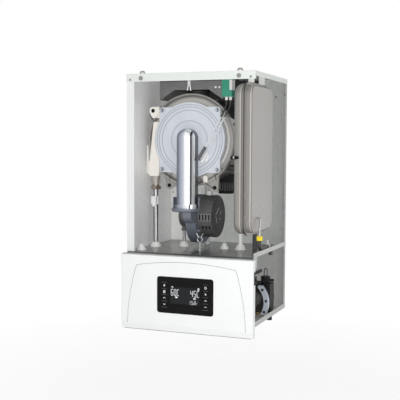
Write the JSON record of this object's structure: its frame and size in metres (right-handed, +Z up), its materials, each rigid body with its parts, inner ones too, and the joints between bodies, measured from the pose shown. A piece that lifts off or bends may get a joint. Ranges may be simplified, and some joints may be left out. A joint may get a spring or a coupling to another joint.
{
  "type": "condensing boiler",
  "caption": "Wall-hung condensing boiler opened for service: round heat exchanger with burner door, fan, expansion vessel, pump and a swing-down control panel with display and keys.",
  "frame": {"origin": "bottom centre of the wall face", "axes": "+Z up; +Y into the wall, so the front faces -Y; +X to the right seen from the front"},
  "size_m": [0.412, 0.3613, 0.764],
  "materials": {
    "white_paint": "satin powder coat",
    "galvanised": "dull galvanised sheet",
    "shelf_grey": "satin dark grey",
    "zinc": "bright zinc",
    "white_rubber": "matt",
    "white_plastic": "smooth satin",
    "cream_plastic": "satin",
    "black_gloss": "gloss",
    "black_plastic": "matt",
    "board_green": "lacquered board",
    "stainless": "warm satin",
    "cast_aluminium": "fine cast",
    "fibre": "matt ceramic fibre",
    "chrome": "polished",
    "steel_tube": "drawn tube",
    "copper": "drawn copper",
    "brass": "machined",
    "black_rubber": "matt",
    "grey_ceramic": "matt",
    "teal_plastic": "moulded",
    "taupe_paint": "satin paint"
  },
  "bodies": {
    "casing": {"back_panel": "galvanised", "left_side_panel": "galvanised", "top_frame": "white_paint", "bottom_frame": "white_paint", "shelf_plate": "shelf_grey", "corner_posts": "galvanised", "mounting_plates": "white_paint", "fasteners": "zinc", "wire_clips": "zinc", "shelf_grommets": "white_rubber", "exchanger_shell": "stainless", "exchanger_ring": "stainless", "exchanger_coil": "stainless", "burner_door": "cast_aluminium", "door_insulation": "fibre", "burner_tube": "stainless", "flow_manifold": "cream_plastic", "flow_sensor": "white_plastic", "steel_pipes": "steel_tube", "copper_pipes": "copper", "rubber_hoses": "black_rubber", "pipe_fittings": "brass", "mix_duct": "chrome", "fan_adapter": "black_plastic", "fan_scroll": "cast_aluminium", "fan_motor": "black_plastic", "gas_mixer": "cast_aluminium", "ignition_electrode": "grey_ceramic", "ignition_leads": "white_rubber", "ignition_transformer": "teal_plastic", "flue_hood": "galvanised", "flue_socket": "cast_aluminium", "vessel_left_shell": "taupe_paint", "vessel_diaphragm": "black_rubber", "vessel_right_shell": "taupe_paint", "pump_body": "black_plastic", "pump_flange": "cast_aluminium", "pump_motor": "black_plastic", "diverter_valve": "black_plastic", "gas_valve": "cast_aluminium", "plate_exchanger": "stainless", "condensate_trap": "white_plastic"},
    "control_panel": {"control_fascia": "white_plastic", "panel_trim": "black_plastic", "display_bezel": "black_gloss", "display_screen": "black_gloss", "circuit_boards": "board_green", "control_box": "black_plastic", "hinge_pins": "zinc"},
    "fan_wheel": {"fan_impeller": "cast_aluminium"},
    "pump_wheel": {"pump_impeller": "steel_tube"},
    "drain_handle": {"drain_knob": "black_plastic"},
    "key_1": {"key_1": "black_gloss"},
    "key_2": {"key_2": "black_gloss"},
    "key_3": {"key_3": "black_gloss"},
    "key_4": {"key_4": "black_gloss"},
    "key_5": {"key_5": "black_gloss"},
    "key_6": {"key_6": "black_gloss"},
    "key_7": {"key_7": "black_gloss"},
    "key_8": {"key_8": "black_gloss"}
  },
  "joints": [
    {"name": "panel_swing", "type": "hinge", "parent": "casing", "child": "control_panel", "pos_m": [0, -0.346, -0.013], "axis": [1, 0, 0], "range_deg": [0, 90]},
    {"name": "fan_spin", "type": "hinge", "parent": "casing", "child": "fan_wheel", "pos_m": [-0.036, -0.15, 0.301], "axis": [1, 0, 0], "continuous": true},
    {"name": "pump_spin", "type": "hinge", "parent": "casing", "child": "pump_wheel", "pos_m": [0.15, -0.132, 0.056], "axis": [0, 1, 0], "continuous": true},
    {"name": "drain_turn", "type": "hinge", "parent": "casing", "child": "drain_handle", "pos_m": [0.19, -0.142, 0], "axis": [0, 0, 1], "range_deg": [0, 90]},
    {"name": "key_1_press", "type": "slide", "parent": "control_panel", "child": "key_1", "axis": [0, 1, 0], "range_m": [0, 0.0008], "stiffness_N_per_m": 1500},
    {"name": "key_2_press", "type": "slide", "parent": "control_panel", "child": "key_2", "axis": [0, 1, 0], "range_m": [0, 0.0008], "stiffness_N_per_m": 1500},
    {"name": "key_3_press", "type": "slide", "parent": "control_panel", "child": "key_3", "axis": [0, 1, 0], "range_m": [0, 0.0008], "stiffness_N_per_m": 1500},
    {"name": "key_4_press", "type": "slide", "parent": "control_panel", "child": "key_4", "axis": [0, 1, 0], "range_m": [0, 0.0008], "stiffness_N_per_m": 1500},
    {"name": "key_5_press", "type": "slide", "parent": "control_panel", "child": "key_5", "axis": [0, 1, 0], "range_m": [0, 0.0008], "stiffness_N_per_m": 1500},
    {"name": "key_6_press", "type": "slide", "parent": "control_panel", "child": "key_6", "axis": [0, 1, 0], "range_m": [0, 0.0008], "stiffness_N_per_m": 1500},
    {"name": "key_7_press", "type": "slide", "parent": "control_panel", "child": "key_7", "axis": [0, 1, 0], "range_m": [0, 0.0008], "stiffness_N_per_m": 1500},
    {"name": "key_8_press", "type": "slide", "parent": "control_panel", "child": "key_8", "axis": [0, 1, 0], "range_m": [0, 0.0008], "stiffness_N_per_m": 1500}
  ]
}
